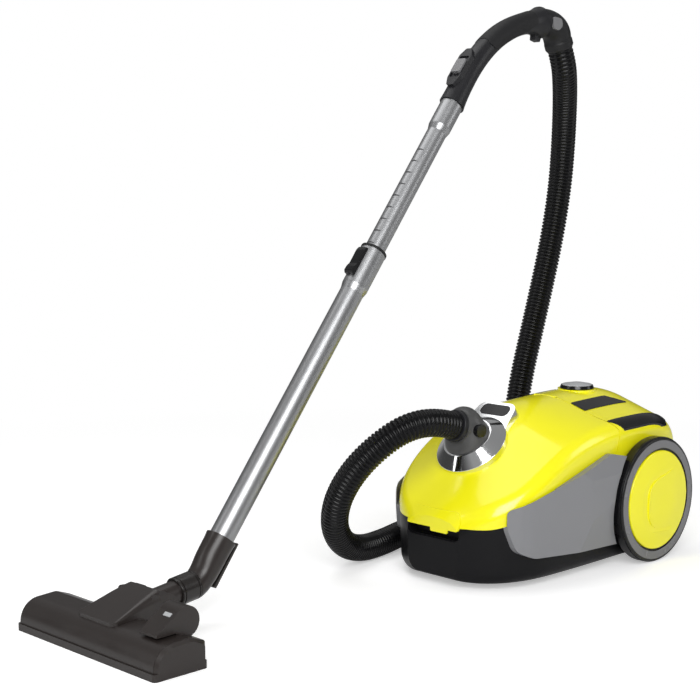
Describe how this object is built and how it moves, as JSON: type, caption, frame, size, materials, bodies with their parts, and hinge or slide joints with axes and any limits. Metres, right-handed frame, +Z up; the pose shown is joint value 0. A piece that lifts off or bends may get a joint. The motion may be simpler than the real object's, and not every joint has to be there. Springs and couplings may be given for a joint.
{
  "type": "canister vacuum cleaner",
  "caption": "Wheeled canister vacuum cleaner with a corrugated hose, curved handle, telescopic wand and a tilting floor head with a foot rocker.",
  "frame": {"origin": "floor point under the middle of the rear axle", "axes": "-X towards the canister's front and the floor head, +Y towards the wand's side, +Z up"},
  "size_m": [1.0205, 0.377, 0.8145],
  "materials": {
    "yellow_shell": "gloss",
    "charcoal_shell": "satin",
    "grey_panel": "satin",
    "black_gloss": "gloss",
    "dark_grey": "matte",
    "head_grey": "satin",
    "light_grey": "satin",
    "chrome": "polished",
    "tube_metal": "brushed",
    "steel": "satin",
    "window": "gloss",
    "rubber": "matte",
    "paper": "matte",
    "foam": "matte",
    "white_plastic": "satin",
    "board": "satin",
    "brush": "matte"
  },
  "bodies": {
    "canister": {"tub": "charcoal_shell", "rear_shell": "yellow_shell", "deck_trim_left": "dark_grey", "deck_trim_right": "dark_grey", "side_panel_left": "grey_panel", "side_panel_right": "grey_panel", "axle_pins": "steel", "hinge_pin": "steel", "latch_pocket": "charcoal_shell", "caster_cup": "charcoal_shell", "bulkhead": "white_plastic", "motor_filter": "foam", "bag_holder": "white_plastic", "dust_bag": "paper", "lid_seal": "rubber", "motor_unit": "steel", "motor_cradle": "white_plastic", "cable_reel": "black_gloss", "control_board": "board", "cable_outlet": "rubber", "exhaust_filter": "white_plastic", "wand_upper_tube": "tube_metal", "handle_shell": "dark_grey", "grip_inlay": "rubber", "swivel_housing": "dark_grey", "housing_insert": "light_grey", "hose": "black_gloss"},
    "wheel_left": {"wheel_left_tyre": "black_gloss", "wheel_left_cap": "yellow_shell"},
    "wheel_right": {"wheel_right_tyre": "black_gloss", "wheel_right_cap": "yellow_shell"},
    "caster_fork": {"caster_fork": "dark_grey"},
    "caster_wheel": {"caster_wheel": "rubber"},
    "lid": {"lid_shell": "yellow_shell", "inlet_collar": "chrome", "fill_window": "window", "hose_elbow": "dark_grey"},
    "latch": {"latch_flap": "yellow_shell"},
    "release_button": {"release_button": "black_gloss"},
    "front_collar": {"hose_collar_front": "dark_grey"},
    "power_pedal": {"power_pedal": "yellow_shell"},
    "rewind_pedal": {"rewind_pedal": "yellow_shell"},
    "knob": {"suction_knob": "dark_grey", "knob_cap": "light_grey"},
    "exhaust_door": {"exhaust_door": "yellow_shell"},
    "regulator": {"regulator_slide": "light_grey"},
    "rear_cuff": {"hose_cuff_rear": "dark_grey"},
    "wand_lower": {"wand_lower_tube": "tube_metal", "sleeve_ring": "dark_grey", "neck_elbow": "head_grey"},
    "sleeve_latch": {"sleeve_latch": "dark_grey"},
    "neck": {"swivel_ring": "black_gloss", "neck_barrel": "head_grey"},
    "head": {"head_shell": "head_grey", "head_cap_left": "head_grey", "head_cap_right": "head_grey", "base_plate": "head_grey", "head_cover": "head_grey"},
    "rocker": {"foot_rocker": "head_grey"},
    "brushes": {"brush_strips": "brush"}
  },
  "joints": [
    {"name": "wheel_left_spin", "type": "hinge", "parent": "canister", "child": "wheel_left", "pos_m": [0, 0.137, 0.092], "axis": [0, 1, 0], "continuous": true},
    {"name": "wheel_right_spin", "type": "hinge", "parent": "canister", "child": "wheel_right", "pos_m": [0, -0.137, 0.092], "axis": [0, 1, 0], "continuous": true},
    {"name": "caster_swivel", "type": "hinge", "parent": "canister", "child": "caster_fork", "pos_m": [-0.25, 0, 0.045], "axis": [0, 0, 1], "continuous": true},
    {"name": "caster_spin", "type": "hinge", "parent": "caster_fork", "child": "caster_wheel", "pos_m": [-0.238, 0, 0.017], "axis": [0, 1, 0], "continuous": true},
    {"name": "lid_hinge", "type": "hinge", "parent": "canister", "child": "lid", "pos_m": [-0.08, 0, 0.23681], "axis": [0, 1, 0], "range_deg": [0, 70], "deforming": ["hose"]},
    {"name": "latch_hinge", "type": "hinge", "parent": "lid", "child": "latch", "pos_m": [-0.3155, 0, 0.107], "axis": [0, 1, 0], "range_deg": [0, 20], "stiffness_Nm_per_rad": 0.2, "springref_deg": -11.46},
    {"name": "release_press", "type": "slide", "parent": "lid", "child": "release_button", "axis": [0, 1, 0], "range_m": [0, 0.0025], "stiffness_N_per_m": 400, "springref_m": -0.001},
    {"name": "front_collar_spin", "type": "hinge", "parent": "lid", "child": "front_collar", "pos_m": [-0.279, 0, 0.216], "axis": [-0.9613, 0, 0.2756], "continuous": true},
    {"name": "power_pedal_tilt", "type": "hinge", "parent": "canister", "child": "power_pedal", "pos_m": [-0.064, -0.089, 0.206], "axis": [0, 1, 0], "range_deg": [0, 4], "stiffness_Nm_per_rad": 4, "springref_deg": -5.73},
    {"name": "rewind_pedal_tilt", "type": "hinge", "parent": "canister", "child": "rewind_pedal", "pos_m": [-0.064, 0.089, 0.206], "axis": [0, 1, 0], "range_deg": [0, 4], "stiffness_Nm_per_rad": 4, "springref_deg": -5.73},
    {"name": "suction_knob_turn", "type": "hinge", "parent": "canister", "child": "knob", "pos_m": [-0.003, 0, 0.245], "axis": [0, 0, 1], "range_deg": [-135, 135]},
    {"name": "exhaust_door_hinge", "type": "hinge", "parent": "canister", "child": "exhaust_door", "pos_m": [0.1069, 0, 0.1083], "axis": [0, 1, 0], "range_deg": [0, 75]},
    {"name": "regulator_slide", "type": "slide", "parent": "canister", "child": "regulator", "axis": [0.6293, 0, 0.7771], "range_m": [-0.006, 0.006]},
    {"name": "rear_cuff_spin", "type": "hinge", "parent": "canister", "child": "rear_cuff", "pos_m": [0.046, 0.085, 0.768], "axis": [0.4305, 0, -0.9026], "continuous": true},
    {"name": "wand_slide", "type": "slide", "parent": "canister", "child": "wand_lower", "axis": [0.6157, 0, 0.788], "range_m": [-0.16, 0.18]},
    {"name": "sleeve_latch_slide", "type": "slide", "parent": "wand_lower", "child": "sleeve_latch", "axis": [0.6157, 0, 0.788], "range_m": [0, 0.004], "stiffness_N_per_m": 500, "springref_m": -0.001},
    {"name": "neck_swivel", "type": "hinge", "parent": "wand_lower", "child": "neck", "pos_m": [-0.679, 0.085, 0.0522], "axis": [0.9912, 0, 0.1323], "range_deg": [-90, 90]},
    {"name": "head_tilt", "type": "hinge", "parent": "neck", "child": "head", "pos_m": [-0.748, 0.085, 0.043], "axis": [0, 1, 0], "range_deg": [-15, 40]},
    {"name": "rocker_tilt", "type": "hinge", "parent": "head", "child": "rocker", "pos_m": [-0.783, -0.016, 0.052], "axis": [0, 1, 0], "range_deg": [0, 12]},
    {"name": "brush_lift", "type": "slide", "parent": "head", "child": "brushes", "axis": [0, 0, 1], "range_m": [-0.006, 0]}
  ],
  "couplings": [
    {"joint": "brush_lift", "follows": "rocker_tilt", "m_per_rad": -0.0286}
  ]
}
